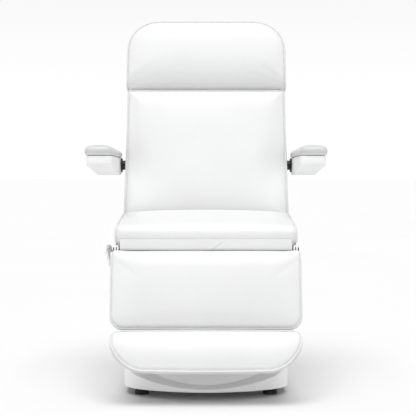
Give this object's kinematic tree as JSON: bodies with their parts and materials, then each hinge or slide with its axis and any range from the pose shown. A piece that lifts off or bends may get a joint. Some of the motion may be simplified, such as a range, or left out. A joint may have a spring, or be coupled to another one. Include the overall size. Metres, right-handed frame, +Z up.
{
  "type": "pedicure spa chair",
  "caption": "White padded treatment chair on a lifting plinth, with reclining back, flip-up armrests, raising leg rest, sliding foot pad and a hand control.",
  "frame": {"origin": "on the floor, below the middle of the chair's overall box", "axes": "+Z up, the sitter faces -Y, +X to the sitter's left"},
  "size_m": [0.844, 1.0531, 1.3531],
  "materials": {
    "upholstery": "white artificial leather, soft satin",
    "white_plastic": "white moulded plastic, semi-gloss",
    "grey_plastic": "light grey moulded plastic, matt",
    "black_plastic": "black moulded plastic, matt",
    "button_plastic": "grey keys, matt",
    "board": "birch plywood, unfinished",
    "frame_paint": "white powder coat",
    "drive_paint": "black paint",
    "steel": "bright steel",
    "dark_steel": "blackened steel",
    "rubber": "black rubber"
  },
  "bodies": {
    "base": {"base_frame": "frame_paint", "plinth_cover": "white_plastic", "riser_shroud": "white_plastic", "column_outer": "frame_paint", "lift_spindle": "steel", "lift_motor": "drive_paint", "drive_tray": "frame_paint", "control_box": "black_plastic", "mains_inlet": "black_plastic", "plinth_screws": "dark_steel"},
    "leveller_front_left": {"leveller_front_left": "rubber"},
    "leveller_front_right": {"leveller_front_right": "rubber"},
    "leveller_rear_left": {"leveller_rear_left": "rubber"},
    "leveller_rear_right": {"leveller_rear_right": "rubber"},
    "seat": {"column_inner": "frame_paint", "column_plate": "frame_paint", "upper_shroud": "white_plastic", "seat_frame": "frame_paint", "seat_board": "board", "seat_cushion": "upholstery", "gap_flap": "upholstery", "hinge_bolts": "dark_steel", "leg_actuator": "drive_paint", "back_actuator": "drive_paint", "actuator_motors": "drive_paint", "handset_holder": "frame_paint"},
    "leg_drive_rod": {"leg_rod": "steel", "leg_rod_pin": "steel"},
    "back_drive_rod": {"back_rod": "steel", "back_rod_pin": "steel"},
    "back": {"back_frame": "frame_paint", "back_board": "board", "back_cushion": "upholstery", "head_cushion": "upholstery", "back_cover": "white_plastic", "cover_screws": "dark_steel", "arm_shafts": "steel", "arm_spacers": "black_plastic"},
    "armrest_left": {"arm_shell_left": "white_plastic", "arm_pad_left": "upholstery", "arm_steel_left": "frame_paint", "arm_disc_left": "black_plastic"},
    "armrest_right": {"arm_shell_right": "white_plastic", "arm_pad_right": "upholstery", "arm_steel_right": "frame_paint", "arm_disc_right": "black_plastic"},
    "leg_rest": {"leg_frame": "frame_paint", "leg_board": "board", "leg_cushion": "upholstery"},
    "foot_slider": {"foot_frame": "steel"},
    "foot_pad": {"foot_board": "board", "foot_cushion": "upholstery"},
    "handset": {"handset_front": "white_plastic", "handset_rear": "white_plastic"},
    "button_1": {"button_1": "button_plastic"},
    "button_2": {"button_2": "button_plastic"},
    "button_3": {"button_3": "button_plastic"},
    "button_4": {"button_4": "button_plastic"},
    "button_5": {"button_5": "button_plastic"},
    "button_6": {"button_6": "button_plastic"}
  },
  "joints": [
    {"name": "lift", "type": "slide", "parent": "base", "child": "seat", "axis": [0, 0, 1], "range_m": [0, 0.2]},
    {"name": "leveller_front_left_screw", "type": "slide", "parent": "base", "child": "leveller_front_left", "axis": [0, 0, 1], "range_m": [-0.012, 0]},
    {"name": "leveller_front_right_screw", "type": "slide", "parent": "base", "child": "leveller_front_right", "axis": [0, 0, 1], "range_m": [-0.012, 0]},
    {"name": "leveller_rear_left_screw", "type": "slide", "parent": "base", "child": "leveller_rear_left", "axis": [0, 0, 1], "range_m": [-0.012, 0]},
    {"name": "leveller_rear_right_screw", "type": "slide", "parent": "base", "child": "leveller_rear_right", "axis": [0, 0, 1], "range_m": [-0.012, 0]},
    {"name": "recline", "type": "hinge", "parent": "seat", "child": "back", "pos_m": [0, 0.178, 0.5], "axis": [-1, 0, 0], "range_deg": [0, 68]},
    {"name": "leg_raise", "type": "hinge", "parent": "seat", "child": "leg_rest", "pos_m": [0, -0.314, 0.496], "axis": [-1, 0, 0], "range_deg": [0, 66]},
    {"name": "back_drive", "type": "slide", "parent": "seat", "child": "back_drive_rod", "axis": [0, -1, 0], "range_m": [0, 0.1045]},
    {"name": "leg_drive", "type": "slide", "parent": "seat", "child": "leg_drive_rod", "axis": [0, -1, 0], "range_m": [0, 0.101]},
    {"name": "armrest_left_flip", "type": "hinge", "parent": "back", "child": "armrest_left", "pos_m": [0.344, 0.3013, 0.783], "axis": [-1, 0, 0], "range_deg": [0, 95]},
    {"name": "armrest_right_flip", "type": "hinge", "parent": "back", "child": "armrest_right", "pos_m": [-0.344, 0.3013, 0.783], "axis": [-1, 0, 0], "range_deg": [0, 95]},
    {"name": "foot_slide", "type": "slide", "parent": "leg_rest", "child": "foot_slider", "axis": [0, -0.3502, -0.9367], "range_m": [0, 0.06]},
    {"name": "foot_tilt", "type": "hinge", "parent": "foot_slider", "child": "foot_pad", "pos_m": [0, -0.38518, 0.17884], "axis": [-1, 0, 0], "range_deg": [-17.5, 0]},
    {"name": "handset_lift_off", "type": "slide", "parent": "seat", "child": "handset", "axis": [-0.2672, 0, 0.9636], "range_m": [0, 0.12]},
    {"name": "button_1_press", "type": "slide", "parent": "handset", "child": "button_1", "axis": [0.9636, 0, 0.2672], "range_m": [0, 0.001], "stiffness_N_per_m": 800},
    {"name": "button_2_press", "type": "slide", "parent": "handset", "child": "button_2", "axis": [0.9636, 0, 0.2672], "range_m": [0, 0.001], "stiffness_N_per_m": 800},
    {"name": "button_3_press", "type": "slide", "parent": "handset", "child": "button_3", "axis": [0.9636, 0, 0.2672], "range_m": [0, 0.001], "stiffness_N_per_m": 800},
    {"name": "button_4_press", "type": "slide", "parent": "handset", "child": "button_4", "axis": [0.9636, 0, 0.2672], "range_m": [0, 0.001], "stiffness_N_per_m": 800},
    {"name": "button_5_press", "type": "slide", "parent": "handset", "child": "button_5", "axis": [0.9636, 0, 0.2672], "range_m": [0, 0.001], "stiffness_N_per_m": 800},
    {"name": "button_6_press", "type": "slide", "parent": "handset", "child": "button_6", "axis": [0.9636, 0, 0.2672], "range_m": [0, 0.001], "stiffness_N_per_m": 800}
  ],
  "couplings": [
    {"joint": "back_drive", "follows": "recline", "m_per_rad": 0.0878},
    {"joint": "leg_drive", "follows": "leg_raise", "m_per_rad": 0.08732}
  ]
}
